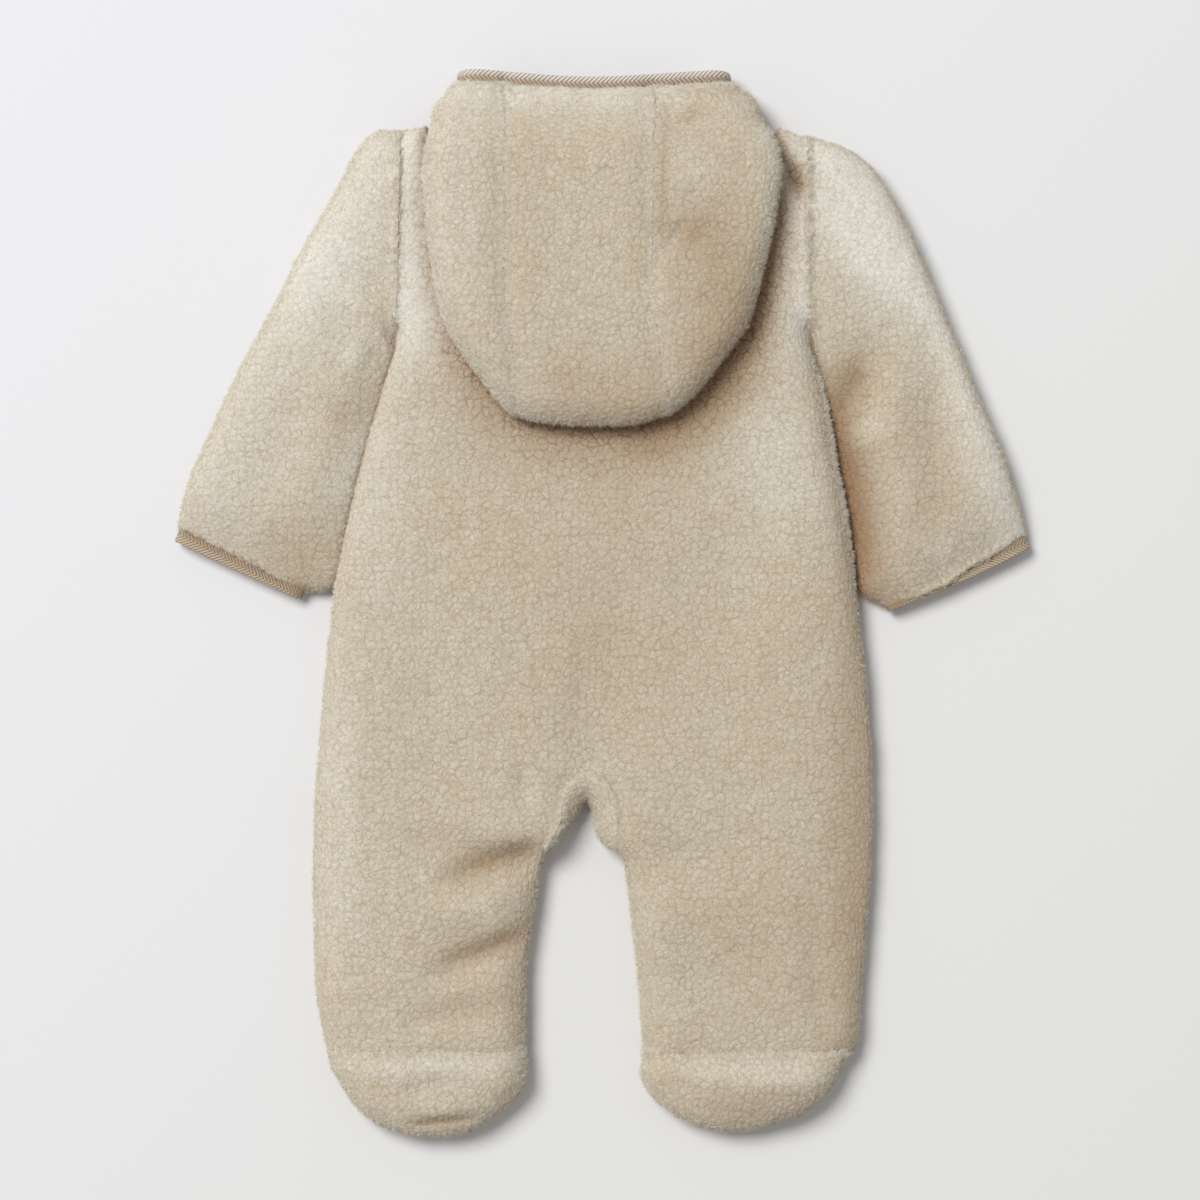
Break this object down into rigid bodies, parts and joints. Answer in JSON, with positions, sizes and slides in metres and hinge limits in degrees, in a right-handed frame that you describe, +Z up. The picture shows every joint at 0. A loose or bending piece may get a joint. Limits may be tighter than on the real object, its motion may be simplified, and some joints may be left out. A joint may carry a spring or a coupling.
{
  "type": "pramsuit",
  "caption": "Baby's hooded one-piece pramsuit in cream teddy pile, closed feet, taped cuffs and hood, front zip, laid face down.",
  "frame": {"origin": "middle of the whole garment's box, on the surface that it lies on", "axes": "+Z up from the surface, +Y from the feet towards the hood, +X to the right seen from above"},
  "size_m": [0.5014, 0.6226, 0.0494],
  "materials": {
    "pile": "cream teddy pile, matt",
    "twill": "woven twill tape, matt",
    "zip_tape": "woven polyester tape",
    "zip_metal": "satin"
  },
  "bodies": {
    "garment": {"back": "pile", "front_left": "pile", "front_right": "pile", "sole_left": "pile", "sole_right": "pile", "crotch_gusset": "pile", "sleeve_left": "pile", "sleeve_right": "pile", "cuff_binding_left": "twill", "cuff_binding_right": "twill", "hood_centre": "pile", "hood_side_left": "pile", "hood_side_right": "pile", "hood_binding": "twill", "zip_chain": "zip_metal", "zip_tape_left": "zip_tape", "zip_tape_right": "zip_tape", "zip_slider": "zip_metal"},
    "pull_tab": {"zip_pull": "zip_metal"}
  },
  "joints": [
    {"name": "pull_tab_hinge", "type": "hinge", "parent": "garment", "child": "pull_tab", "pos_m": [-0.01009, 0.24367, 0.00675], "axis": [1, 0, 0], "range_deg": [0, 170]}
  ]
}
